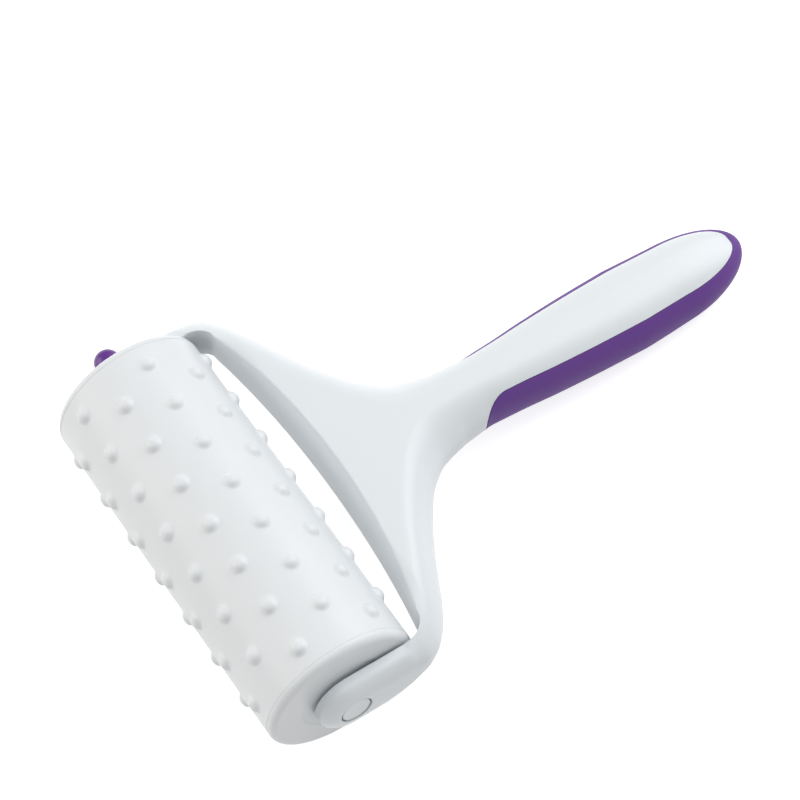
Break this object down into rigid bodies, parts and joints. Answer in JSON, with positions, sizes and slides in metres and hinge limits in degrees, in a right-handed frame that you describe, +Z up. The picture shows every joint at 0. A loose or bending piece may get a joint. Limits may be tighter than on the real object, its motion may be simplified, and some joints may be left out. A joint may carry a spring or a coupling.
{
  "type": "handled embossing roller",
  "caption": "Handled embossing roller: a studded white roller turning in a forked yoke, with a purple soft-grip handle and a push button that frees the roller.",
  "frame": {"origin": "centre of the bounding box's underside, on the surface that the tool lies on", "axes": "+X along the roller's axis towards the plain arm, away from the release button; +Y from the roller to the handle's end; +Z up"},
  "size_m": [0.132, 0.1922, 0.0465],
  "materials": {
    "white_plastic": "satin moulded plastic, cool white",
    "purple_soft_grip": "matte soft-touch overmould, dark purple",
    "purple_plastic": "satin moulded plastic, purple",
    "spring_steel": "plain spring wire"
  },
  "bodies": {
    "frame": {"yoke_handle": "white_plastic", "soft_grip": "purple_soft_grip"},
    "roller": {"roller_sleeve": "white_plastic", "plain_end_cap": "white_plastic", "button_end_cap": "white_plastic", "spring_plug": "white_plastic", "release_spring": "spring_steel"},
    "button": {"release_button": "purple_plastic"}
  },
  "joints": [
    {"name": "roller_spin", "type": "hinge", "parent": "frame", "child": "roller", "pos_m": [0.004, -0.07285, 0.02325], "axis": [1, 0, 0], "continuous": true},
    {"name": "button_press", "type": "slide", "parent": "roller", "child": "button", "axis": [1, 0, 0], "range_m": [0, 0.0141], "stiffness_N_per_m": 600, "springref_m": -0.004, "deforming": ["release_spring"]}
  ]
}
